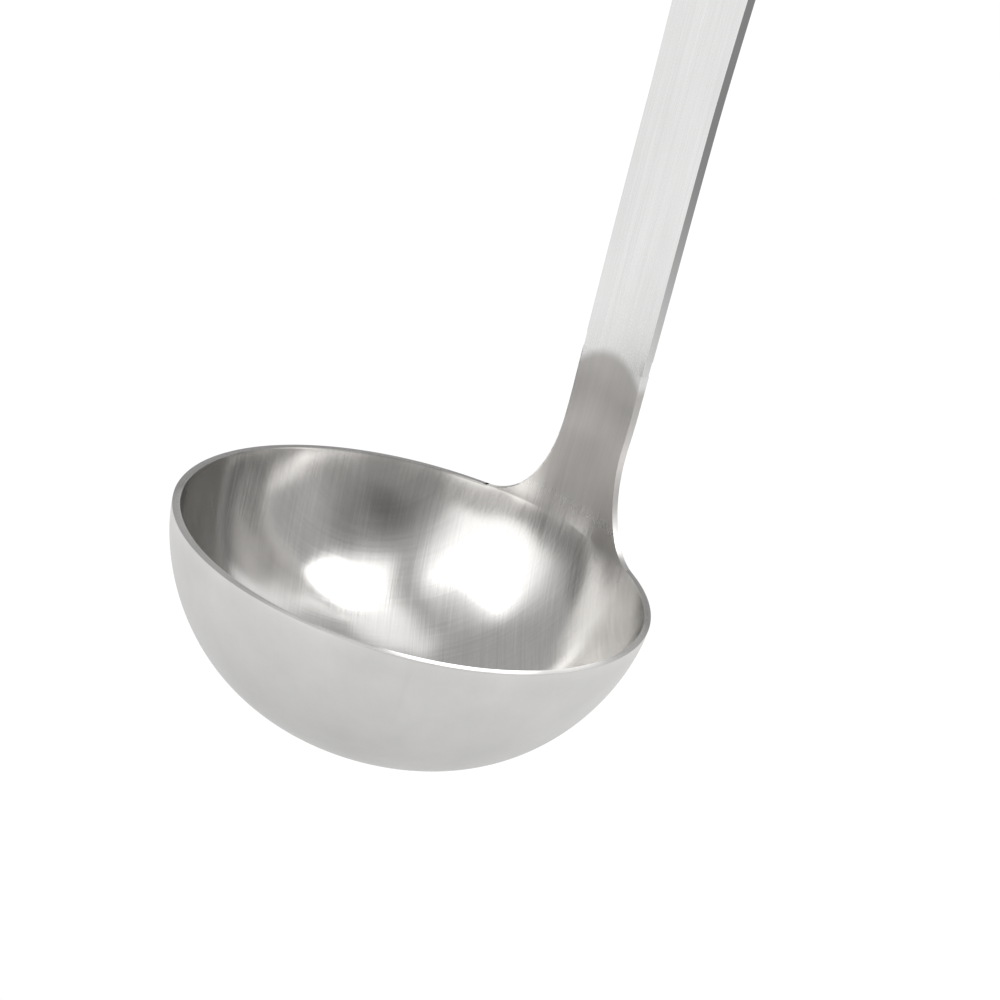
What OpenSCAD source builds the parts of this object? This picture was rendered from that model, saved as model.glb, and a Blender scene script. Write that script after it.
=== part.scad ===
// Soup ladle: a deep pressed bowl whose neck rises from the rim, butt welded to a flat bar handle.
// Heights in the Customizer values are measured upwards from the plane of the bowl's rim.
// The finished part has its origin at the centre of the hanging hole, the handle up and the lip to -Y.

/* [Bowl] */
// Outside diameter of the bowl at its rim
bowl_d = 92; // [76:1:110]
// Outside depth of the bowl from the rim to its lowest point
bowl_depth = 37.2; // [28:0.2:50]
// Roundness of the wall below the rim, where 2 is a plain ellipse and more is squarer
wall_power = 1.7; // [1.6:0.05:2.4]
// Roundness of the bottom, where 2 is a plain ellipse and more is flatter
bottom_power = 2.6; // [1.8:0.05:2.8]
// Sheet thickness at the bottom of the bowl
bottom_t = 1.4; // [0.8:0.1:2.5]
// Width of the ground lip at the front of the rim
lip_front_t = 1.6; // [1.2:0.1:2.8]
// Width of the ground lip where it meets the neck
lip_back_t = 1.2; // [0.7:0.1:1.8]

/* [Neck] */
// Width of the neck above its root fillets
neck_w = 15.8; // [12:0.2:24]
// Width across the root, where both fillets run out into the rim
root_w = 40; // [32:1:56]
// Height of the root fillets
fillet_h = 20.6; // [8:0.2:26]
// Height at which the bowl's sheet ends and the weld begins
neck_h = 36; // [30:1:50]
// Length of flat sheet below the weld, above the stretch where the neck is hollow
flat_l = 8; // [2:1:14]
// Sheet thickness at the foot of the neck
neck_t = 1.6; // [1:0.1:2]
// Height above which the neck and handle have their full thickness
full_t_h = 60; // [40:2:100]

/* [Weld] */
// Height of the weld strip, ground flush with the neck and the handle
weld_h = 3; // [1.5:0.5:6]

/* [Handle] */
// Height of the handle's end
handle_top = 262; // [200:2:330]
// Thickness of the handle bar
handle_t = 2.3; // [1.6:0.1:3]
// Width of the handle at its end, before the corners are rounded
end_w = 27.8; // [20:0.2:34]
// Height at which the handle begins to widen
flare_h = 88; // [50:2:140]
// How the handle widens, where 1 is a straight taper and more is a curved one
flare_power = 1.3; // [1:0.1:2]
// Corner radius of the handle's end
corner_r = 9; // [4:0.5:9.5]
// Distance of the handle's face line inside the rim's outer circle
setback = 0.4; // [0:0.1:4]
// Lean of the handle towards the lip at the neck, in degrees
lean_neck = 5.2; // [0:0.2:8]
// Lean of the handle towards the lip at its end, in degrees
lean_end = -1.4; // [-4:0.2:6]
// Bevel along the handle's edges
edge_bevel = 0.3; // [0.1:0.05:0.5]

/* [Hanging hole] */
// Diameter of the hanging hole
hole_d = 7; // [4:0.5:9]
// Distance of the hole's centre from the handle's end
hole_drop = 12; // [8:0.5:20]

/* [Hidden] */
// Steps of the surfaces
RIM_STEPS = 54;
ROOT_STEPS = 18;
DEPTH_STEPS = 16;
FILLET_STEPS = 7;
NECK_STEPS = 5;
BAR_STEPS = 24;
CORNER_STEPS = 8;

rim_r = bowl_d / 2;
root_a = asin(root_w / 2 / rim_r);
hollow_h = neck_h - flat_l;
fillet_top = min(fillet_h, hollow_h);
handle_foot = neck_h + weld_h;
hole_h = handle_top - hole_drop;
columns = ROOT_STEPS + RIM_STEPS;

// Smooth step from 0 to 1
function ease(u) = let (v = min(1, max(0, u))) v * v * (3 - 2 * v);
function mix(a, b, u) = a + (b - a) * u;

// Thickness of the neck and the handle at a height
function bar_t(z) = mix(neck_t, handle_t, ease(z / full_t_h));
// Front face line of the handle, a shallow parabola between its two leans
function face_y(z) = rim_r - setback - tan(lean_neck) * z
    + (tan(lean_neck) - tan(lean_end)) * z * z / (2 * handle_top);
// Back face line, which joins the outside of the rim at its foot
function back_y(z) = face_y(z) + bar_t(z)
    + (rim_r - face_y(0) - bar_t(0)) * (1 - ease(z / hollow_h));
// Half width of the straight and the widening stretch
function half_w(z) = mix(neck_w, end_w,
    pow(max(0, (z - flare_h) / (handle_top - flare_h)), flare_power)) / 2;
// Curvature across the neck, from the rim's down to none
function hollow(z) = (1 - ease(z / hollow_h)) / rim_r;

// Direction of a column round the rim: the root's columns come first
function column_a(j) = j <= ROOT_STEPS
    ? 90 - root_a + 2 * root_a * j / ROOT_STEPS
    : 90 + root_a + (360 - 2 * root_a) * (j - ROOT_STEPS) / RIM_STEPS;
function lip_t(a) = mix(lip_back_t, lip_front_t, pow((1 - sin(a)) / 2, 2.5));

// Point of a bowl surface: a superellipse profile of radius r and depth d, at s degrees below the rim
function bowl_point(r, d, a, s) = let (q = r * pow(cos(s), 2 / bottom_power))
    [q * cos(a), q * sin(a), -d * pow(sin(s), 2 / wall_power)];
function bowl_side(inside) = [
    for (i = [0 : DEPTH_STEPS - 1], j = [0 : columns - 1])
        let (a = column_a(j))
        bowl_point(
            rim_r - (inside ? lip_t(a) : 0),
            bowl_depth - (inside ? bottom_t : 0),
            a,
            90 * i / DEPTH_STEPS
        )
];

// Rows of the neck, each [half width, height]: the fillet's quarter ellipse, then the straight
neck_rows = concat(
    [for (k = [1 : FILLET_STEPS]) let (q = 90 * k / FILLET_STEPS)
        [mix(root_w, neck_w, sin(q)) / 2, fillet_top * (1 - cos(q))]],
    [for (k = [1 : NECK_STEPS]) let (z = mix(fillet_top, neck_h, k / NECK_STEPS))
        [half_w(z), z]]
);
// Point of the neck: the column's place across the width, on the arc of the row's hollow
function neck_point(row, j, inside) =
    let (
        z = row[1],
        c = hollow(z),
        x = row[0] * cos(column_a(j)) / sin(root_a),
        n = sqrt(1 - x * x * c * c),
        t = inside ? mix(lip_t(column_a(j)), bar_t(z), ease(z / fillet_top)) : 0
    )
    [x - t * x * c, back_y(z) - x * x * c / (1 + n) - t * n, z];
function neck_side(inside) = [
    for (row = neck_rows, j = [0 : ROOT_STEPS]) neck_point(row, j, inside)
];

// Two triangles for the four corners of a patch
function patch(a, b, c, d) = [[a, b, c], [a, c, d]];

// The pressed bowl with its neck, one closed shell of sheet
module bowl() {
    outer = bowl_side(false);
    inner = bowl_side(true);
    outer_pole = len(outer);
    inner_base = outer_pole + 1;
    inner_pole = inner_base + len(inner);
    neck_base = inner_pole + 1;
    rows = len(neck_rows);
    neck_count = rows * (ROOT_STEPS + 1);

    function wall(i, j, inside) =
        (inside ? inner_base : 0) + i * columns + j % columns;
    function neck(k, j, inside) = k == 0
        ? wall(0, j, inside)
        : neck_base + (inside ? neck_count : 0) + (k - 1) * (ROOT_STEPS + 1) + j;

    points = concat(
        outer, [[0, 0, -bowl_depth]],
        inner, [[0, 0, bottom_t - bowl_depth]],
        neck_side(false), neck_side(true)
    );
    wall_faces = [
        for (i = [0 : DEPTH_STEPS - 2], j = [0 : columns - 1])
            each concat(
                patch(wall(i, j, false), wall(i, j + 1, false),
                    wall(i + 1, j + 1, false), wall(i + 1, j, false)),
                patch(wall(i, j, true), wall(i + 1, j, true),
                    wall(i + 1, j + 1, true), wall(i, j + 1, true))
            )
    ];
    bottom_faces = [
        for (j = [0 : columns - 1], last = [DEPTH_STEPS - 1])
            each [
                [wall(last, j, false), wall(last, j + 1, false), outer_pole],
                [wall(last, j, true), inner_pole, wall(last, j + 1, true)]
            ]
    ];
    lip_faces = [
        for (j = [ROOT_STEPS : columns - 1])
            each patch(wall(0, j, false), wall(0, j, true),
                wall(0, j + 1, true), wall(0, j + 1, false))
    ];
    neck_faces = [
        for (k = [0 : rows - 1], j = [0 : ROOT_STEPS - 1])
            each concat(
                patch(neck(k + 1, j, false), neck(k + 1, j + 1, false),
                    neck(k, j + 1, false), neck(k, j, false)),
                patch(neck(k + 1, j, true), neck(k, j, true),
                    neck(k, j + 1, true), neck(k + 1, j + 1, true))
            )
    ];
    edge_faces = [
        for (k = [0 : rows - 1], n = [ROOT_STEPS])
            each concat(
                patch(neck(k + 1, 0, true), neck(k + 1, 0, false),
                    neck(k, 0, false), neck(k, 0, true)),
                patch(neck(k + 1, n, false), neck(k + 1, n, true),
                    neck(k, n, true), neck(k, n, false))
            )
    ];
    top_faces = [
        for (j = [0 : ROOT_STEPS - 1])
            each patch(neck(rows, j + 1, false), neck(rows, j, false),
                neck(rows, j, true), neck(rows, j + 1, true))
    ];
    color([0.72, 0.71, 0.70])
        hung()
            polyhedron(
                points,
                concat(wall_faces, bottom_faces, lip_faces, neck_faces, edge_faces, top_faces)
            );
}

// Bevelled cross-section of the bar at a height, anticlockwise from above
function bar_ring(z, half) =
    let (f = back_y(z) - bar_t(z), r = back_y(z), b = edge_bevel)
    [
        [half - b, f, z], [half, f + b, z], [half, r - b, z], [half - b, r, z],
        [b - half, r, z], [-half, r - b, z], [-half, f + b, z], [b - half, f, z]
    ];

// Closed skin over a list of rings, lowest first
module ring_skin(rings) {
    n = len(rings[0]);
    top = len(rings) - 1;
    sides = [
        for (i = [0 : top - 1], j = [0 : n - 1], m = [(j + 1) % n])
            each patch((i + 1) * n + j, (i + 1) * n + m, i * n + m, i * n + j)
    ];
    foot_cap = [[for (j = [0 : n - 1]) j]];
    top_cap = [[for (j = [n - 1 : -1 : 0]) top * n + j]];
    polyhedron([for (ring = rings) each ring], concat(sides, foot_cap, top_cap));
}

// The butt weld, ground flush on all sides
module neck_weld() {
    color([0.64, 0.63, 0.62])
        hung()
            ring_skin([for (z = [neck_h, handle_foot]) bar_ring(z, half_w(z))]);
}

// The flat bar, which widens to a rounded end with the hanging hole
module handle() {
    shoulder = handle_top - corner_r;
    rings = concat(
        [for (k = [0 : BAR_STEPS]) let (z = mix(handle_foot, shoulder, k / BAR_STEPS))
            bar_ring(z, half_w(z))],
        [for (k = [1 : CORNER_STEPS])
            let (
                q = 90 * k / CORNER_STEPS,
                z = shoulder + corner_r * sin(q)
            )
            bar_ring(z, half_w(z) - corner_r * (1 - cos(q)))]
    );
    color([0.80, 0.80, 0.80])
        hung()
            difference() {
                ring_skin(rings);
                translate([0, hole_y(), hole_h])
                    rotate([90, 0, 0])
                        cylinder(h = 4 * handle_t, d = hole_d, center = true, $fn = 64);
            }
}

// Middle of the bar's thickness at the hanging hole
function hole_y() = back_y(hole_h) - bar_t(hole_h) / 2;

// Moves a piece so that the hanging hole's centre is at the origin
module hung() {
    translate([0, -hole_y(), -hole_h])
        children();
}

bowl();
neck_weld();
handle();
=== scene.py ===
"""Soup ladle: a deep pressed bowl whose neck rises into a flat bar handle, in brushed stainless steel."""

import logging
import math
from dataclasses import dataclass
from enum import Enum
from typing import Any, Iterable, Optional, Union

import bpy
import numpy as np
from mathutils import Matrix, Vector


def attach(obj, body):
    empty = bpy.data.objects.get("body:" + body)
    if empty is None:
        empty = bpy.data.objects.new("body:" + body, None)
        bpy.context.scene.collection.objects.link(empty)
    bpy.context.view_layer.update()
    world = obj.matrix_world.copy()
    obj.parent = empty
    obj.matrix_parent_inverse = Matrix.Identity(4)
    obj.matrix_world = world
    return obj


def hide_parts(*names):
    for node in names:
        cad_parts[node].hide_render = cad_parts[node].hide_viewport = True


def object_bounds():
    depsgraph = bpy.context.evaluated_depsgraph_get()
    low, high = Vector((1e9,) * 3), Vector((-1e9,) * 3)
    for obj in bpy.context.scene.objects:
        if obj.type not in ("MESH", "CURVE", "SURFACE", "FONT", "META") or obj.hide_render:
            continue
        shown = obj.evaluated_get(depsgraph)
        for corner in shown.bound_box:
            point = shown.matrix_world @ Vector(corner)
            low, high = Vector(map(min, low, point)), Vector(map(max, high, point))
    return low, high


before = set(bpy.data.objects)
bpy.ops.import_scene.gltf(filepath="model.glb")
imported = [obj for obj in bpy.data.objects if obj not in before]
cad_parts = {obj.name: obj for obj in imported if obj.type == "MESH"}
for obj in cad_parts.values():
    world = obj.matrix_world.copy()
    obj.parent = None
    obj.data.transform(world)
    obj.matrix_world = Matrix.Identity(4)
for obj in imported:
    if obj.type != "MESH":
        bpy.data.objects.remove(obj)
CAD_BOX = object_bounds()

log = logging.getLogger("ladle")

MM = 0.001
Array = np.ndarray
Triple = tuple[float, float, float]
Colour = tuple[float, float, float, float]
WHITE: Colour = (1.0, 1.0, 1.0, 1.0)


# ---------------------------------------------------------------- shapes


def ease(u: Array) -> Array:
    """Smooth step from 0 to 1: u squared times (3 - 2u), with u held between 0 and 1."""
    v = np.clip(u, 0.0, 1.0)
    return v * v * (3.0 - 2.0 * v)


def mix(a: Any, b: Any, u: Any) -> Any:
    """Straight blend from a, at u = 0, to b, at u = 1."""
    return a + (b - a) * u


def quads(index: Array, flip: bool = False) -> Array:
    """Faces between the neighbours of a grid of vertex numbers.

    Args:
        index: Vertex numbers, one row per step up and one column per step round.
        flip: Turns the faces over.

    Returns:
        An array of four vertex numbers a face.
    """
    a, b = index[:-1, :-1], index[:-1, 1:]
    c, d = index[1:, 1:], index[1:, :-1]
    order = (a, d, c, b) if flip else (a, b, c, d)
    return np.stack(order, axis=-1).reshape(-1, 4)


def fan(rim: Array, pole: int, flip: bool = False) -> Array:
    """Triangles from a closed row of vertex numbers to one pole vertex.

    Args:
        rim: Vertex numbers of the row, the first repeated at the end.
        pole: Vertex number of the pole.
        flip: Turns the faces over.

    Returns:
        An array of three vertex numbers a face.
    """
    a, b = rim[:-1], rim[1:]
    p = np.full_like(a, pole)
    return np.stack((b, a, p) if flip else (a, b, p), axis=-1)


@dataclass(frozen=True)
class LadleShape:
    """The ladle's form in millimetres, with heights measured from the plane of the rim."""

    rim_r: float = 46.0
    bowl_depth: float = 37.2
    wall_power: float = 1.7
    bottom_power: float = 2.6
    bottom_t: float = 1.4
    lip_front_t: float = 1.6
    lip_back_t: float = 1.2
    neck_w: float = 15.8
    root_w: float = 40.0
    fillet_h: float = 20.6
    neck_h: float = 36.0
    flat_l: float = 8.0
    neck_t: float = 1.6
    full_t_h: float = 60.0
    weld_h: float = 3.0
    handle_top: float = 262.0
    handle_t: float = 2.3
    end_w: float = 27.8
    flare_h: float = 88.0
    flare_power: float = 1.3
    corner_r: float = 9.0
    setback: float = 0.4
    lean_neck: float = 5.2
    lean_end: float = -1.4
    hole_d: float = 7.0
    hole_drop: float = 12.0

    @property
    def root_a(self) -> float:
        """Half angle that the root takes of the rim."""
        return math.asin(self.root_w / 2 / self.rim_r)

    @property
    def hollow_h(self) -> float:
        """Height at which the neck's hollow has run out flat."""
        return self.neck_h - self.flat_l

    @property
    def hole_h(self) -> float:
        """Height of the hanging hole's centre."""
        return self.handle_top - self.hole_drop

    def bar_t(self, z: Array) -> Array:
        """Thickness of the neck and the bar: it eases from the neck's to the handle's."""
        return mix(self.neck_t, self.handle_t, ease(z / self.full_t_h))

    def face_y(self, z: Array) -> Array:
        """Front face line: a parabola whose slope goes from one lean to the other."""
        low, high = math.tan(math.radians(self.lean_neck)), math.tan(math.radians(self.lean_end))
        return self.rim_r - self.setback - low * z + (low - high) * z * z / (2 * self.handle_top)

    def back_y(self, z: Array) -> Array:
        """Back face line: the front line plus the thickness, eased out to the rim at its foot."""
        step = self.rim_r - self.face_y(0.0) - self.bar_t(0.0)
        return self.face_y(z) + self.bar_t(z) + step * (1.0 - ease(z / self.hollow_h))

    def half_w(self, z: Array) -> Array:
        """Half width: constant, then widening with a power of the height over the flare's start."""
        rise = np.clip((z - self.flare_h) / (self.handle_top - self.flare_h), 0.0, None)
        return mix(self.neck_w, self.end_w, rise**self.flare_power) / 2

    def hollow(self, z: Array) -> Array:
        """Curvature across the neck: the rim's at its foot, easing to none."""
        return (1.0 - ease(z / self.hollow_h)) / self.rim_r

    def lip_t(self, a: Array) -> Array:
        """Width of the lip: it grows from the neck to the front with a power of the turn."""
        return mix(self.lip_back_t, self.lip_front_t, ((1.0 - np.sin(a)) / 2) ** 2.5)

    def hole_y(self) -> float:
        """Depth of the bar's middle at the hanging hole."""
        return float(self.back_y(self.hole_h) - self.bar_t(self.hole_h) / 2)

    def bowl_points(self, a: Array, s: Array, inside: bool) -> Array:
        """Points of the bowl: a superellipse profile turned round the vertical axis.

        Args:
            a: Directions round the rim, in radians.
            s: Angles below the rim, from 0 there to a right angle at the bottom.
            inside: Takes the inner surface, a wall's thickness within the outer.

        Returns:
            Points in millimetres.
        """
        r = self.rim_r - (self.lip_t(a) if inside else 0.0)
        d = self.bowl_depth - (self.bottom_t if inside else 0.0)
        q = r * np.cos(s) ** (2 / self.bottom_power)
        z = -d * np.sin(s) ** (2 / self.wall_power)
        return np.stack(np.broadcast_arrays(q * np.cos(a), q * np.sin(a), z), axis=-1)

    def neck_points(self, half: Array, z: Array, a: Array, inside: bool) -> Array:
        """Points of the neck: each row is an arc across, as hollow as its height asks.

        Args:
            half: Half width of each row.
            z: Height of each point.
            a: Direction of each column at the rim, which sets its share of the width.
            inside: Takes the inner surface, moved in along the arc's own normal.

        Returns:
            Points in millimetres.
        """
        c = self.hollow(z)
        x = half * np.cos(a) / math.sin(self.root_a)
        n = np.sqrt(1.0 - x * x * c * c)
        t = mix(self.lip_t(a), self.bar_t(z), ease(z / self.fillet_h)) if inside else 0.0 * x
        return np.stack(
            np.broadcast_arrays(x - t * x * c, self.back_y(z) - x * x * c / (1 + n) - t * n, z),
            axis=-1,
        )

    def to_frame(self, points: Array) -> Array:
        """Moves points to the part's frame, in metres, with the hanging hole's centre at the origin."""
        return (points - np.array([0.0, self.hole_y(), self.hole_h])) * MM


# ---------------------------------------------------------------- shader graph


Source = Union["Signal", float, int, tuple]


class Graph:
    """A node tree that is built from expressions."""

    def __init__(self, tree: bpy.types.NodeTree) -> None:
        """Keeps the tree and clears it."""
        self.tree = tree
        tree.nodes.clear()

    def node(self, kind: str, settings: Optional[dict] = None, **values: Source) -> bpy.types.Node:
        """Adds one node.

        Args:
            kind: The node's type, such as ShaderNodeMath.
            settings: Properties set before the sockets.
            **values: Socket values or links, by name, or by number as _0, _1 and so on.

        Returns:
            The new node.
        """
        made = self.tree.nodes.new(kind)
        for key, value in (settings or {}).items():
            setattr(made, key, value)
        for key, value in values.items():
            name: Union[int, str] = int(key[1:]) if key[0] == "_" else key.replace("_", " ")
            self.feed(made.inputs[name], value)
        return made

    def feed(self, socket: bpy.types.NodeSocket, value: Source) -> None:
        """Links a signal to a socket, or sets the socket's own value.

        Args:
            socket: The input to feed.
            value: A signal, a number, a vector or a colour.
        """
        if isinstance(value, Signal):
            self.tree.links.new(value.socket, socket)
        else:
            socket.default_value = value

    def signal(self, kind: str, settings: Optional[dict] = None, output: Union[int, str] = 0,
               **values: Source) -> "Signal":
        """Adds one node and gives one of its outputs as a signal."""
        return Signal(self, self.node(kind, settings, **values).outputs[output])

    def math(self, operation: str, a: Source, b: Source = 0.0) -> "Signal":
        """One Math node."""
        return self.signal("ShaderNodeMath", {"operation": operation}, _0=a, _1=b)

    def vector(self, operation: str, a: Source, b: Source) -> "Signal":
        """One Vector Math node with a vector result."""
        return self.signal("ShaderNodeVectorMath", {"operation": operation}, _0=a, _1=b)

    def dot(self, a: Source, b: Source) -> "Signal":
        """The dot product of two vectors."""
        return self.signal("ShaderNodeVectorMath", {"operation": "DOT_PRODUCT"}, "Value", _0=a, _1=b)

    def grey(self, level: "Signal") -> "Signal":
        """The grey colour of a level."""
        return self.signal("ShaderNodeCombineColor", None, 0, Red=level, Green=level, Blue=level)

    def blend(self, a: Source, b: Source, factor: Source, kind: str = "MIX") -> "Signal":
        """A Mix node between two colours.

        Args:
            a: The first colour.
            b: The second colour.
            factor: Share of the second, from 0 to 1.
            kind: The node's blend type.

        Returns:
            The mixed colour.
        """
        made = self.node("ShaderNodeMix", {"data_type": "RGBA", "blend_type": kind}, _0=factor, _6=a, _7=b)
        return Signal(self, made.outputs[2])

    def between(self, value: Source, low: float, high: float, out: tuple = (0.0, 1.0)) -> "Signal":
        """Smooth step of a value between two limits, mapped to a range."""
        return self.signal(
            "ShaderNodeMapRange", {"interpolation_type": "SMOOTHSTEP"},
            Value=value, From_Min=low, From_Max=high, To_Min=out[0], To_Max=out[1],
        )

    def noise(self, place: "Signal", grain: "Grain") -> "Signal":
        """Noise of one grain, about 0 to 1.

        Args:
            place: Coordinates in metres.
            grain: The noise's size, detail and turn.

        Returns:
            The noise's value.
        """
        turn = (0.0, 0.0, math.radians(grain.turn))
        turned = self.signal("ShaderNodeMapping", {"vector_type": "TEXTURE"}, Vector=place, Rotation=turn)
        spread = self.vector("MULTIPLY", turned, grain.cells)
        return self.signal("ShaderNodeTexNoise", {"noise_dimensions": "3D"}, "Fac",
                           Vector=spread, Scale=1.0, Detail=grain.detail, Roughness=grain.rough)


@dataclass(frozen=True)
class Grain:
    """Stretched noise: cells a metre along each axis, detail, roughness, and degrees turned about Z."""

    cells: Triple
    detail: float = 2.0
    rough: float = 0.5
    turn: float = 0.0


@dataclass(frozen=True)
class Signal:
    """A socket in an expression: its operators add Math nodes."""

    graph: Graph
    socket: bpy.types.NodeSocket

    def __add__(self, other: Source) -> "Signal":
        """self + other."""
        return self.graph.math("ADD", self, other)

    __radd__ = __add__

    def __mul__(self, other: Source) -> "Signal":
        """self * other."""
        return self.graph.math("MULTIPLY", self, other)

    __rmul__ = __mul__

    def __sub__(self, other: Source) -> "Signal":
        """self - other."""
        return self.graph.math("SUBTRACT", self, other)

    def __rsub__(self, other: Source) -> "Signal":
        """other - self."""
        return self.graph.math("SUBTRACT", other, self)

    def clamp(self) -> "Signal":
        """The value held between 0 and 1."""
        return self.graph.signal("ShaderNodeClamp", None, 0, _0=self)

    def largest(self, other: Source) -> "Signal":
        """The larger of two values."""
        return self.graph.math("MAXIMUM", self, other)


# ---------------------------------------------------------------- finishes


INSIDE = "inside"


@dataclass(frozen=True)
class Steel:
    """The two looks that every piece shares: bright belt-brushed bar and duller hand-blended neck.

    Heights and the arch's blur are in millimetres, the heights above the rim. The arch drops with
    the square of the distance from the middle, and arch_drop is that factor per metre.
    """

    bright: Colour = (0.76, 0.76, 0.755, 1.0)
    satin: Colour = (0.52, 0.505, 0.49, 1.0)
    bright_roughness: float = 0.27
    satin_roughness: float = 0.36
    arch_height: float = 37.4
    arch_drop: float = 72.0
    arch_blur: float = 1.4
    # The narrow sides take painted shade, darker from the first height up to the second.
    edge_from: float = 16.0
    edge_to: float = 85.0
    painted_side_dark: float = 0.30
    side_from: float = 0.80
    side_to: float = 0.95


@dataclass(frozen=True)
class Finish:
    """A stainless surface: the shared looks, and the strokes that belt and wheel left on this piece."""

    name: str
    shape: LadleShape
    steel: Steel = Steel()
    stroke_depth: float = 0.30
    stroke_height: float = 0.04
    fine_belt: Grain = Grain((4200.0, 400.0, 24.0), 2.0, 0.65)
    coarse_belt: Grain = Grain((1500.0, 150.0, 9.0))
    fine_share: float = 0.6
    cloud: Grain = Grain((70.0, 70.0, 40.0), 3.0, 0.6)
    cloud_tone: float = 0.14
    stroke_tone: float = 0.34
    stroke_rough: float = 0.12
    side_rough: float = 0.10

    def at(self, height: float) -> float:
        """Object coordinate, in metres, of a height in millimetres above the rim."""
        return (height - self.shape.hole_h) * MM

    def build(self) -> bpy.types.Material:
        """Makes the material, which reads Object coordinates and the piece's own attribute.

        Returns:
            The material.
        """
        material = bpy.data.materials.new(self.name)
        material.use_nodes = True
        graph = Graph(material.node_tree)
        place = graph.signal("ShaderNodeTexCoord", None, "Object")
        parts = graph.node("ShaderNodeSeparateXYZ", None, Vector=place)
        x, _, z = (Signal(graph, parts.outputs[i]) for i in range(3))
        colour, roughness, height = self.surface(graph, place, x, z)
        bump = graph.signal("ShaderNodeBump", None, "Normal", Strength=self.stroke_depth,
                            Distance=self.stroke_height * MM, Height=height, **self.under(graph, place))
        shader = graph.node("ShaderNodeBsdfPrincipled", None, Base_Color=colour, Metallic=1.0,
                            Roughness=roughness.clamp(), Normal=bump)
        graph.node("ShaderNodeOutputMaterial", None, Surface=Signal(graph, shader.outputs[0]))
        return material

    def under(self, graph: Graph, place: Signal) -> dict[str, Signal]:
        """The normal that the strokes lie on, as a socket by name: none on a flat bar."""
        return {}

    def surface(self, graph: Graph, place: Signal, x: Signal,
                z: Signal) -> tuple[Signal, Signal, Signal]:
        """Colour, roughness and stroke height of the piece.

        Args:
            graph: The material's graph.
            place: Object coordinates.
            x: Distance to the right of the middle plane.
            z: Height above the hanging hole.

        Returns:
            Base colour, roughness and height.
        """
        satin = self.neck_satin(graph, x, z)
        strokes = self.belt_strokes(graph, place)
        side = self.side_mask(graph)
        tone = (graph.noise(place, self.cloud) - 0.5) * self.cloud_tone
        tone = tone + (strokes - 0.5) * self.stroke_tone + 1.0
        # Painted shade darkens the narrow sides up the bar.
        shade = tone * self.painted_side_shade(graph, z, side)
        base = graph.blend(self.steel.bright, self.steel.satin, satin)
        rough = graph.between(satin, 0.0, 1.0, (self.steel.bright_roughness, self.steel.satin_roughness))
        rough = rough + (strokes - 0.5) * self.stroke_rough + side * self.side_rough
        return graph.blend(base, graph.grey(shade), 1.0, "MULTIPLY"), rough, strokes

    def painted_side_shade(self, graph: Graph, z: Signal, side: Signal) -> Signal:
        """Painted shade of the narrow sides, which darken from the neck up the bar.

        Args:
            graph: The material's graph.
            z: Height above the hanging hole.
            side: 1 on the narrow sides.

        Returns:
            A factor for the colour, 1 away from the sides.
        """
        rise = graph.between(z, self.at(self.steel.edge_from), self.at(self.steel.edge_to),
                             (1.0, self.steel.painted_side_dark))
        return side * (rise - 1.0) + 1.0

    def side_mask(self, graph: Graph) -> Signal:
        """1 on the bar's narrow sides and 0 on its faces: the sides take painted shade and a rougher
        finish.

        Args:
            graph: The material's graph.

        Returns:
            The mask.
        """
        normal = graph.signal("ShaderNodeNewGeometry", None, "True Normal")
        across = graph.math("ABSOLUTE", graph.dot(normal, (1.0, 0.0, 0.0)))
        return graph.between(across, self.steel.side_from, self.steel.side_to)

    def neck_satin(self, graph: Graph, x: Signal, z: Signal) -> Signal:
        """Where the neck was blended by hand: 1 below an arch across the bar, 0 above it.

        Args:
            graph: The material's graph.
            x: Distance to the right of the middle plane.
            z: Height above the hanging hole.

        Returns:
            The mask.
        """
        blur = self.steel.arch_blur * MM
        reach = graph.math("MINIMUM", x * x, (self.shape.neck_w / 2 * MM) ** 2)
        arch = self.at(self.steel.arch_height) - reach * self.steel.arch_drop
        return graph.between(z - arch, blur, -blur)

    def belt_strokes(self, graph: Graph, place: Signal) -> Signal:
        """Long strokes of a belt that ran along the bar, fine ones over coarse ones."""
        fine, coarse = graph.noise(place, self.fine_belt), graph.noise(place, self.coarse_belt)
        return fine * self.fine_share + coarse * (1.0 - self.fine_share)


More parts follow.
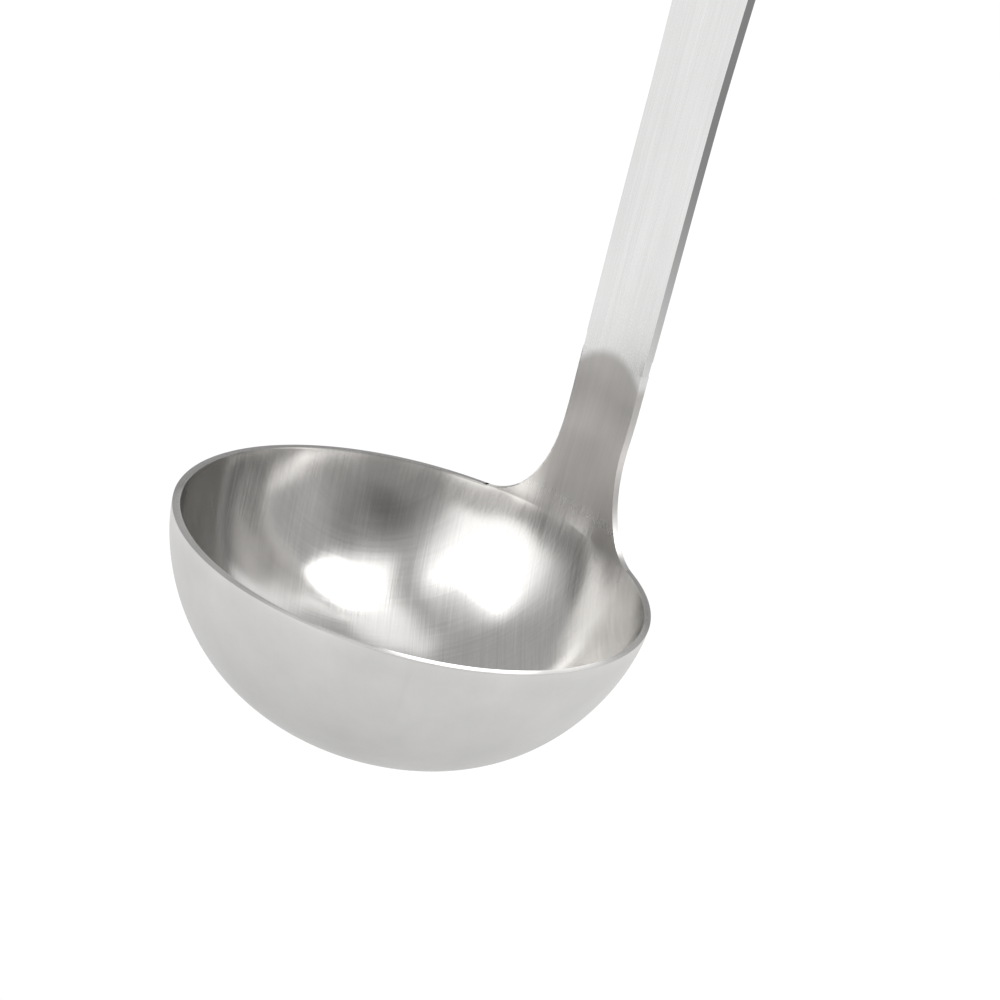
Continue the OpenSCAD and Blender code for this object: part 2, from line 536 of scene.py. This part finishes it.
@dataclass(frozen=True)
class BowlFinish(Finish):
    """The bowl: polished with crossed strokes inside, even satin outside, both running into the neck."""

    polished: Colour = (0.70, 0.69, 0.675, 1.0)
    outside: Colour = (0.60, 0.595, 0.585, 1.0)
    polished_roughness: float = 0.20
    outside_roughness: float = 0.38
    first_wheel: Grain = Grain((3200.0, 60.0, 60.0), 2.0, 0.6, 50.0)
    second_wheel: Grain = Grain((2600.0, 50.0, 50.0), 2.0, 0.6, -35.0)
    speckle: Grain = Grain((700.0, 700.0, 700.0), 3.0, 0.65)
    cloud: Grain = Grain((55.0, 55.0, 55.0), 3.0, 0.6)
    waves: Grain = Grain((46.0, 46.0, 30.0), 1.0, 0.4)
    wave_height: float = 2.2
    cloud_tone: float = 0.26
    stroke_tone: float = 0.10
    polished_tone: float = 0.24
    stroke_rough: float = 0.16
    neck_from: float = -4.0
    neck_to: float = 14.0
    neck_belt: float = 0.6
    # The neck's root takes painted light: a painted reflection that brightens it towards the rim.
    root_from: float = 30.0
    root_to: float = 8.0
    root_painted_light: float = 1.8
    # The outside takes painted shade, darker from the rim down towards the bottom.
    deep_from: float = -4.0
    deep_to: float = -32.0
    painted_bottom_shade: float = 0.80

    def surface(self, graph: Graph, place: Signal, x: Signal,
                z: Signal) -> tuple[Signal, Signal, Signal]:
        """Colour, roughness and stroke height, inside and outside, blended to the neck above the rim.

        Args:
            graph: The material's graph.
            place: Object coordinates.
            x: Distance to the right of the middle plane.
            z: Height above the hanging hole.

        Returns:
            Base colour, roughness and height.
        """
        inside = self.inside_mask(graph)
        satin = self.neck_satin(graph, x, z)
        neck = graph.between(z, self.at(self.neck_from), self.at(self.neck_to))
        # Painted light: a painted reflection that brightens the neck's root.
        root = graph.between(z, self.at(self.root_from), self.at(self.root_to), (1.0, self.root_painted_light))
        # Painted shade: the outside darkens towards the bottom.
        painted_low_shade = graph.between(z, self.at(self.deep_from), self.at(self.deep_to), (1.0, self.painted_bottom_shade))

        along = self.belt_strokes(graph, place)
        within = mix(self.wheel_strokes(graph, place), along, neck * self.neck_belt)
        speckle = graph.noise(place, self.speckle)
        without = speckle * self.fine_share + along * (1.0 - self.fine_share)
        strokes = within * inside + without * (1.0 - inside)

        wall = graph.blend(self.outside, self.polished, inside)
        base = graph.blend(self.steel.bright, graph.blend(wall, self.steel.satin, neck), satin)
        tone = (graph.noise(place, self.cloud) - 0.5) * self.cloud_tone
        tone = tone + (strokes - 0.5) * (inside * self.polished_tone + self.stroke_tone) + 1.0
        # Painted shade darkens the outside towards the bottom, and painted light brightens the neck's
        # root.
        shade = tone * mix(mix(painted_low_shade, 1.0, inside), root, neck)
        # Painted shade darkens the neck's narrow sides up the bar.
        shade = shade * self.painted_side_shade(graph, z, self.side_mask(graph))

        rough = graph.between(inside, 0.0, 1.0, (self.outside_roughness, self.polished_roughness))
        rough = mix(self.steel.bright_roughness, mix(rough, self.steel.satin_roughness, neck), satin)
        rough = rough + (strokes - 0.5) * self.stroke_rough
        return graph.blend(base, graph.grey(shade), 1.0, "MULTIPLY"), rough, strokes

    def inside_mask(self, graph: Graph) -> Signal:
        """The piece's own attribute: 1 on the inner wall and the neck's front, 0 elsewhere."""
        return graph.signal("ShaderNodeAttribute", {"attribute_name": INSIDE}, "Fac")

    def under(self, graph: Graph, place: Signal) -> dict[str, Signal]:
        """The waves that pressing left inside, which break up what the wall reflects."""
        height = graph.noise(place, self.waves) * self.inside_mask(graph)
        return {"Normal": graph.signal("ShaderNodeBump", None, "Normal", Strength=1.0,
                                       Distance=self.wave_height * MM, Height=height)}

    def wheel_strokes(self, graph: Graph, place: Signal) -> Signal:
        """Crossed strokes of a hand-held wheel, with the deeper ones running one way."""
        first, second = graph.noise(place, self.first_wheel), graph.noise(place, self.second_wheel)
        return first * self.fine_share + second * (1.0 - self.fine_share)


# ---------------------------------------------------------------- pieces


class Slot(Enum):
    """The record's material slots."""

    BOWL = "bowl_steel"
    WELD = "weld_steel"
    HANDLE = "handle_steel"


def edge_pairs(rows: Iterable[Array]) -> Array:
    """Pairs of neighbours along each row of vertex numbers."""
    return np.concatenate([np.stack((row[:-1], row[1:]), axis=1) for row in rows])


def marked_edges(mesh: bpy.types.Mesh, pairs: Array) -> Array:
    """For each edge of the mesh, whether its two vertex numbers are among the pairs.

    Args:
        mesh: The mesh.
        pairs: Pairs of vertex numbers, in either order.

    Returns:
        A truth value for each edge.
    """
    count = len(mesh.vertices)
    ends = np.empty(len(mesh.edges) * 2, dtype=np.int32)
    mesh.edges.foreach_get("vertices", ends)
    ends = np.sort(ends.reshape(-1, 2).astype(np.int64), axis=1)
    wanted = np.sort(pairs, axis=1)
    return np.isin(ends[:, 0] * count + ends[:, 1], wanted[:, 0] * count + wanted[:, 1])


def make_piece(name: str, points: Array, faces: Iterable[Array], material: bpy.types.Material,
               rounded: Array, crisp: Array) -> bpy.types.Object:
    """Puts a surface into a mesh object at the origin.

    Args:
        name: The object's name.
        points: Vertex places in metres.
        faces: Arrays of faces, each with one count of corners.
        material: The finish.
        rounded: Pairs of vertex numbers whose edges are bevelled.
        crisp: Pairs of vertex numbers whose edges stay sharp, where pieces butt together.

    Returns:
        The object, linked to the scene.
    """
    mesh = bpy.data.meshes.new(name)
    mesh.from_pydata(points.tolist(), [], [face for group in faces for face in group.tolist()])
    mesh.validate()
    mesh.shade_smooth()
    mesh.materials.append(material)
    weights = mesh.attributes.new("bevel_weight_edge", "FLOAT", "EDGE")
    weights.data.foreach_set("value", marked_edges(mesh, rounded).astype(np.float32))
    sharp = mesh.attributes.new("sharp_edge", "BOOLEAN", "EDGE")
    sharp.data.foreach_set("value", marked_edges(mesh, crisp))
    piece = bpy.data.objects.new(name, mesh)
    bpy.context.scene.collection.objects.link(piece)
    return piece


FLAT_WEIGHT = 80


def soften(piece: bpy.types.Object, width: float, segments: int = 2) -> None:
    """Bevels the marked edges and weights the normals, so that flats stay flat.

    Args:
        piece: The object.
        width: The bevel's width in metres.
        segments: Faces across the bevel.
    """
    bevel = piece.modifiers.new("edge bevel", "BEVEL")
    bevel.limit_method = "WEIGHT"
    bevel.width = width
    bevel.segments = segments
    bevel.use_clamp_overlap = True
    normals = piece.modifiers.new("normals", "WEIGHTED_NORMAL")
    normals.weight = FLAT_WEIGHT
    normals.keep_sharp = True


@dataclass
class Bowl:
    """The pressed bowl and its neck, one closed shell of sheet."""

    shape: LadleShape
    root_steps: int = 48
    rim_steps: int = 240
    depth_steps: int = 72
    neck_steps: int = 60
    bevel: float = 0.28

    def columns(self) -> Array:
        """Directions of the columns round the rim: the root's first, then the rest of the turn.

        Returns:
            Angles in radians, from +X towards +Y.
        """
        a = self.shape.root_a
        root = np.linspace(math.pi / 2 - a, math.pi / 2 + a, self.root_steps + 1)
        rest = np.linspace(math.pi / 2 + a, math.pi * 2.5 - a, self.rim_steps + 1)[1:-1]
        return np.concatenate((root, rest))

    def neck_grid(self, a: Array, inside: bool) -> Array:
        """The neck's points: the side rows follow the root fillet, and the middle ones climb evenly.

        Args:
            a: Directions of the root's columns.
            inside: Takes the front face, and otherwise the back.

        Returns:
            Points in millimetres, one row per step up.
        """
        shape = self.shape
        fillet = self.neck_steps // 2
        q = np.linspace(0.0, math.pi / 2, fillet + 1)[1:]
        straight = np.linspace(shape.fillet_h, shape.neck_h, self.neck_steps - fillet + 1)[1:]
        half = np.concatenate((mix(shape.root_w, shape.neck_w, np.sin(q)) / 2, shape.half_w(straight)))
        side_z = np.concatenate((shape.fillet_h * (1 - np.cos(q)), straight))
        even_z = shape.neck_h * np.arange(1, self.neck_steps + 1) / self.neck_steps
        share = np.abs(np.cos(a) / math.sin(shape.root_a)) ** 2
        z = mix(even_z[:, None], side_z[:, None], share[None, :])
        return shape.neck_points(half[:, None], z, a[None, :], inside)

    def build(self, material: bpy.types.Material) -> bpy.types.Object:
        """Makes the shell: two walls and two neck faces, joined by the lip, the edges and the top.

        Args:
            material: The bowl's finish.

        Returns:
            The piece.
        """
        shape = self.shape
        a = self.columns()
        count = len(a)
        rows = self.depth_steps
        s = (math.pi / 2 * np.arange(rows) / rows)[:, None]
        root = a[: self.root_steps + 1]
        blocks, walls, necks, poles = [], [], [], []
        start = 0
        for inside in (False, True):
            wall = shape.bowl_points(a[None, :], s, inside).reshape(-1, 3)
            depth = shape.bowl_depth - (shape.bottom_t if inside else 0.0)
            neck = self.neck_grid(root, inside).reshape(-1, 3)
            ids = start + np.arange(rows * count).reshape(rows, count)
            walls.append(np.concatenate((ids, ids[:, :1]), axis=1))
            poles.append(start + rows * count)
            first = poles[-1] + 1
            grid = first + np.arange(len(neck)).reshape(self.neck_steps, -1)
            necks.append(np.concatenate((ids[:1, : self.root_steps + 1], grid)))
            blocks += [wall, np.array([[0.0, 0.0, -depth]]), neck]
            start = first + len(neck)
        points = shape.to_frame(np.concatenate(blocks))

        outer, inner = walls
        lip = np.stack((outer[0, self.root_steps:], inner[0, self.root_steps:]))
        right = np.stack((necks[0][:, 0], necks[1][:, 0]))
        left = np.stack((necks[0][:, -1], necks[1][:, -1]))
        top = np.stack((necks[0][-1], necks[1][-1]))
        faces = [
            quads(outer, flip=True), quads(inner),
            fan(outer[-1], poles[0], flip=True), fan(inner[-1], poles[1]),
            quads(lip), quads(necks[0]), quads(necks[1], flip=True),
            quads(right, flip=True), quads(left), quads(top),
        ]
        rounded = edge_pairs((*lip, *right, *left))
        crisp = edge_pairs((*top, right[:, -1], left[:, -1]))
        piece = make_piece("bowl_shell", points, faces, material, rounded, crisp)
        last_outer = poles[0] + len(blocks[2])
        inner_points = np.arange(len(points)) > last_outer
        inside = piece.data.attributes.new(INSIDE, "FLOAT", "POINT")
        inside.data.foreach_set("value", inner_points.astype(np.float32))
        soften(piece, self.bevel * MM)
        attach(piece, "root")
        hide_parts("bowl")
        return piece


@dataclass
class Bar:
    """A stretch of the flat bar, between two heights in millimetres above the rim."""

    shape: LadleShape
    low: float
    high: float
    name: str
    node: str
    slot: Slot
    steps: int
    across: int = 12
    corner_steps: int = 24
    bevel: float = 0.28

    def outline(self) -> tuple[Array, Array]:
        """Half widths and heights of the rows: even steps, then the quarter circle of the corner.

        Returns:
            The half widths and the heights.
        """
        shape = self.shape
        ends_high = self.high >= shape.handle_top
        shoulder = shape.handle_top - shape.corner_r if ends_high else self.high
        z = np.linspace(self.low, shoulder, self.steps + 1)
        half = shape.half_w(z)
        if ends_high:
            q = np.linspace(0.0, math.pi / 2, self.corner_steps + 1)[1:]
            corner = shoulder + shape.corner_r * np.sin(q)
            z = np.concatenate((z, corner))
            half = np.concatenate((half, shape.half_w(corner) - shape.corner_r * (1 - np.cos(q))))
        return half, z

    def work(self, piece: bpy.types.Object) -> None:
        """What is done to the plain bar before its edges are softened: nothing here."""

    def build(self, material: bpy.types.Material) -> bpy.types.Object:
        """Makes the bar: a ring of points round each row, carried along the outline.

        Args:
            material: The bar's finish.

        Returns:
            The piece.
        """
        half, z = self.outline()
        u = np.linspace(-1.0, 1.0, self.across + 1)
        back = self.shape.back_y(z)
        front = back - self.shape.bar_t(z)
        x = np.concatenate((u[None, :] * half[:, None], u[None, ::-1] * half[:, None]), axis=1)
        y = np.concatenate((np.repeat(front[:, None], len(u), 1), np.repeat(back[:, None], len(u), 1)), 1)
        points = np.stack((x, y, np.repeat(z[:, None], 2 * len(u), 1)), axis=-1)
        ids = np.arange(points.shape[0] * points.shape[1]).reshape(points.shape[:2])
        around = np.concatenate((ids, ids[:, :1]), axis=1)
        n = len(u)
        caps = [np.stack((ids[row, :n], ids[row, :n - 1:-1])) for row in (0, -1)]
        faces = [quads(around), quads(caps[0], flip=True), quads(caps[1])]
        long_edges = [ids[:, 0], ids[:, n - 1], ids[:, n], ids[:, -1]]
        butts = [around[0]]
        if self.high >= self.shape.handle_top:
            long_edges += [ids[-1, :n], ids[-1, n:]]
        else:
            butts += [around[-1]]
        points = self.shape.to_frame(points.reshape(-1, 3))
        piece = make_piece(self.name, points, faces, material, edge_pairs(long_edges), edge_pairs(butts))
        self.work(piece)
        soften(piece, self.bevel * MM)
        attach(piece, "root")
        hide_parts(self.node)
        return piece


@dataclass
class Handle(Bar):
    """The handle: the flat bar with its rounded end, and the hanging hole drilled through it."""

    bore_steps: int = 64
    cutter_reach: float = 4.0

    def work(self, piece: bpy.types.Object) -> None:
        """Cuts the hanging hole with a cylinder along Y, before the edges are bevelled.

        Args:
            piece: The handle.
        """
        a = np.linspace(0.0, 2 * math.pi, self.bore_steps, endpoint=False)
        r = self.shape.hole_d / 2 * MM
        ends = np.array([-1.0, 1.0]) * self.cutter_reach * MM
        x, y = np.broadcast_arrays(r * np.cos(a)[None, :], ends[:, None])
        z = np.broadcast_to(r * np.sin(a)[None, :], x.shape)
        points = np.stack((x, y, z), axis=-1).reshape(-1, 3)
        ids = np.arange(2 * self.bore_steps).reshape(2, -1)
        ring = np.concatenate((ids, ids[:, :1]), axis=1)
        mesh = bpy.data.meshes.new("hole cutter")
        caps = [ids[0].tolist(), ids[1, ::-1].tolist()]
        mesh.from_pydata(points.tolist(), [], quads(ring, flip=True).tolist() + caps)
        mesh.validate()
        cutter = bpy.data.objects.new("hole cutter", mesh)
        bpy.context.scene.collection.objects.link(cutter)
        cut = piece.modifiers.new("hole", "BOOLEAN")
        cut.operation = "DIFFERENCE"
        cut.solver = "EXACT"
        cut.object = cutter
        graph = bpy.context.evaluated_depsgraph_get()
        cut_mesh = bpy.data.meshes.new_from_object(piece.evaluated_get(graph))
        piece.modifiers.clear()
        piece.data = cut_mesh
        bpy.data.objects.remove(cutter)


# ---------------------------------------------------------------- studio


@dataclass(frozen=True)
class Viewpoint:
    """Where the photograph was taken from, about the centre of the rim."""

    azimuth: float = 37.4
    elevation: float = 21.25
    roll: float = 16.5
    distance: float = 467.0
    focal_px: float = 2500.0
    picture_px: float = 1000.0
    rim_at_px: tuple[float, float] = (414.6, 551.2)
    sensor_mm: float = 36.0
    clip: tuple[float, float] = (0.01, 20.0)

    def build(self, shape: LadleShape) -> bpy.types.Object:
        """Makes the camera.

        Args:
            shape: The ladle's form, which says where the rim's centre is.

        Returns:
            The camera, made the scene's own.
        """
        a, e, r = (math.radians(v) for v in (self.azimuth, self.elevation, self.roll))
        back = Vector((math.sin(a) * math.cos(e), -math.cos(a) * math.cos(e), math.sin(e)))
        right = Vector((math.cos(a), math.sin(a), 0.0))
        up = back.cross(right)
        turned = Matrix.Rotation(r, 3, back)
        right, up = turned @ right, turned @ up
        rim = Vector(shape.to_frame(np.zeros(3)))
        shift = [(p - self.picture_px / 2) / self.focal_px for p in self.rim_at_px]
        reach = self.distance * MM
        place = rim + (back - right * shift[0] + up * shift[1]) * reach
        data = bpy.data.cameras.new("camera")
        data.sensor_width = self.sensor_mm
        data.lens = self.focal_px / self.picture_px * self.sensor_mm
        data.clip_start, data.clip_end = self.clip
        camera = bpy.data.objects.new("camera", data)
        turn = Matrix((right, up, back)).transposed().to_4x4()
        camera.matrix_world = Matrix.Translation(place) @ turn
        bpy.context.scene.collection.objects.link(camera)
        bpy.context.scene.camera = camera
        return camera


@dataclass(frozen=True)
class Softbox:
    """A square lamp that faces the bowl, with its place in degrees and metres and its own brightness."""

    name: str
    azimuth: float
    elevation: float
    reach: float
    size: float
    level: float

    def build(self, target: Vector) -> None:
        """Hangs the lamp at its reach from the target and turns it towards it.

        Args:
            target: The point that the lamp faces.
        """
        a, e = math.radians(self.azimuth), math.radians(self.elevation)
        away = Vector((math.sin(a) * math.cos(e), -math.cos(a) * math.cos(e), math.sin(e)))
        data = bpy.data.lights.new(self.name, "AREA")
        data.size = self.size
        data.energy = self.level * math.pi * self.size**2
        lamp = bpy.data.objects.new(self.name, data)
        lamp.location = target + away * self.reach
        lamp.rotation_euler = away.to_track_quat("Z", "Y").to_euler()
        bpy.context.scene.collection.objects.link(lamp)


@dataclass(frozen=True)
class Panel:
    """A soft-edged patch of the room that metal reflects: a white reflector or a dark gap, in degrees."""

    azimuths: tuple[float, float]
    elevations: tuple[float, float]
    level: float
    soft: float = 7.0

    def apply(self, graph: Graph, azimuth: Signal, elevation: Signal, under: Signal) -> Signal:
        """Lays the patch over what is under it.

        Args:
            graph: The world's graph.
            azimuth: The ray's azimuth, 0 towards -Y and growing towards +X.
            elevation: The ray's elevation.
            under: Level without the patch.

        Returns:
            The level with the patch: a product of two smooth windows, one for each angle.
        """
        cover: Source = 1.0
        half = math.radians(self.soft)
        for value, limits in ((azimuth, self.azimuths), (elevation, self.elevations)):
            low, high = (math.radians(limit) for limit in limits)
            opens = graph.between(value, low - half, low + half)
            closes = graph.between(value, high + half, high - half)
            cover = opens * closes * cover
        return under + (self.level - under) * cover


@dataclass
class Studio:
    """A white room with soft lamps and a pale floor below the ladle."""

    gloom: float = 0.46
    horizon: tuple[float, float] = (-0.08, 0.06)
    panels: tuple[Panel, ...] = (
        Panel((-200.0, 200.0), (74.0, 100.0), 1.15),
        Panel((48.0, 158.0), (48.0, 84.0), 1.7, 10.0),
        Panel((128.0, 165.0), (24.0, 50.0), 1.2),
        Panel((-30.0, 20.0), (-2.0, 54.0), 1.6, 11.0),
        Panel((44.0, 82.0), (-4.0, 34.0), 0.16, 15.0),
    )
    lamps: tuple[Softbox, ...] = (
        Softbox("front lamp", -8.0, 40.0, 1.3, 0.45, 1.2),
        Softbox("back lamp", 105.0, 62.0, 1.3, 0.80, 1.0),
    )
    floor_drop: float = 0.10
    floor_size: float = 6.0
    floor_cover: float = 0.85
    floor_glow: float = 1.08
    floor_paint: Colour = (0.92, 0.92, 0.92, 1.0)

    def world(self) -> None:
        """White to the camera; for the rest a dim room with lighter and darker sides."""
        world = bpy.data.worlds.new("studio")
        bpy.context.scene.world = world
        world.use_nodes = True
        graph = Graph(world.node_tree)
        path = graph.node("ShaderNodeLightPath")
        seen = Signal(graph, path.outputs["Is Camera Ray"])
        white = graph.node("ShaderNodeBackground", None, Color=WHITE, Strength=1.0)
        room = graph.node("ShaderNodeBackground", None, Color=self._room_colour(graph), Strength=1.0)
        mixed = graph.node("ShaderNodeMixShader", None, _0=seen,
                           _1=Signal(graph, room.outputs[0]), _2=Signal(graph, white.outputs[0]))
        graph.node("ShaderNodeOutputWorld", None, Surface=Signal(graph, mixed.outputs[0]))

    def _room_colour(self, graph: Graph) -> Signal:
        """Brightness of the white room by direction: reflectors with soft edges and gaps between them.

        Args:
            graph: The world's graph.

        Returns:
            A grey colour.
        """
        way = graph.node("ShaderNodeSeparateXYZ", None,
                         Vector=graph.signal("ShaderNodeTexCoord", None, "Generated"))
        x, y, z = (Signal(graph, way.outputs[i]) for i in range(3))
        azimuth = graph.math("ARCTAN2", x, y * -1.0)
        elevation = graph.math("ARCSINE", z)
        level = graph.between(z, *self.horizon, (1.0, self.gloom))
        for panel in self.panels:
            level = panel.apply(graph, azimuth, elevation, level)
        return graph.grey(level)

    def floor(self, below: float) -> None:
        """A pale floor that is white to the camera and keeps a soft shadow.

        Args:
            below: Height of the lowest point of the ladle.
        """
        side = self.floor_size / 2
        height = below - self.floor_drop
        mesh = bpy.data.meshes.new("floor")
        corners = [(x * side, y * side, height) for x, y in ((-1, -1), (1, -1), (1, 1), (-1, 1))]
        mesh.from_pydata(corners, [], [(0, 1, 2, 3)])
        material = bpy.data.materials.new("pale floor")
        material.use_nodes = True
        graph = Graph(material.node_tree)
        path = graph.node("ShaderNodeLightPath")
        seen = Signal(graph, path.outputs["Is Camera Ray"]).largest(
            Signal(graph, path.outputs["Is Glossy Ray"]))
        paint = graph.node("ShaderNodeBsdfDiffuse", None, Color=self.floor_paint)
        glow = graph.node("ShaderNodeEmission", None, Color=WHITE, Strength=self.floor_glow)
        mixed = graph.node("ShaderNodeMixShader", None, _0=seen * self.floor_cover,
                           _1=Signal(graph, paint.outputs[0]), _2=Signal(graph, glow.outputs[0]))
        graph.node("ShaderNodeOutputMaterial", None, Surface=Signal(graph, mixed.outputs[0]))
        mesh.materials.append(material)
        floor = bpy.data.objects.new("floor", mesh)
        bpy.context.scene.collection.objects.link(floor)

    def build(self, shape: LadleShape) -> None:
        """Sets the room, the lamps and the floor.

        Args:
            shape: The ladle's form, which says where the lamps face.
        """
        self.world()
        target = Vector(shape.to_frame(np.zeros(3)))
        for lamp in self.lamps:
            lamp.build(target)
        self.floor(CAD_BOX[0][2])


def main() -> None:
    """Builds the camera, the studio and the three pieces."""
    logging.basicConfig(level=logging.INFO, format="%(name)s: %(message)s")
    bpy.context.scene.view_settings.view_transform = "Standard"
    shape = LadleShape()
    Viewpoint().build(shape)
    Studio().build(shape)
    weld_top = shape.neck_h + shape.weld_h
    weld = Bar(shape, shape.neck_h, weld_top, "weld_strip", "neck_weld", Slot.WELD, steps=6)
    handle = Handle(shape, weld_top, shape.handle_top, "handle_bar", "handle", Slot.HANDLE, steps=150)
    parts = ((Bowl(shape), BowlFinish("bowl steel", shape)), (weld, Finish("weld steel", shape)),
             (handle, Finish("handle steel", shape)))
    for part, finish in parts:
        piece = part.build(finish.build())
        log.info("%s: %d faces before its modifiers", piece.name, len(piece.data.polygons))


if __name__ == "__main__":
    main()
